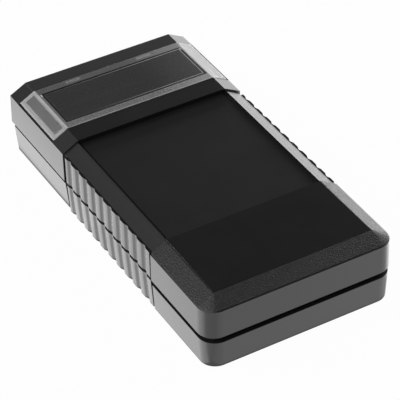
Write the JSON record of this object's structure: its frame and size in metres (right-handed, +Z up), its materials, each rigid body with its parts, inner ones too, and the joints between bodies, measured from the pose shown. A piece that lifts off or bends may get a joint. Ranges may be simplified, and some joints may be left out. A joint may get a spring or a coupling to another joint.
{
  "type": "handheld enclosure",
  "caption": "Black two-half handheld instrument case with a clear wrap-over display window, keypad recess, reeded side grips and a battery door underneath.",
  "frame": {"origin": "on the base plane, under the middle of the case", "axes": "+X to the right across the case, +Y from the plain near end to the display head, +Z up through the window"},
  "size_m": [0.1006, 0.1962, 0.0384],
  "materials": {
    "case": "moulded black ABS, satin with a fine spark grain on the bevels",
    "window": "clear moulded polycarbonate",
    "contacts": "nickel-plated spring steel",
    "screws": "zinc-plated steel"
  },
  "bodies": {
    "case": {"top_shell": "case", "bottom_shell": "case", "window_lens": "window", "contact_positive": "contacts", "contact_negative": "contacts", "contact_bridge": "contacts", "case_screws": "screws"},
    "door": {"battery_door": "case"}
  },
  "joints": [
    {"name": "door_hinge", "type": "hinge", "parent": "case", "child": "door", "pos_m": [0, -0.0521, 0.00085], "axis": [1, 0, 0], "range_deg": [0, 80]}
  ]
}
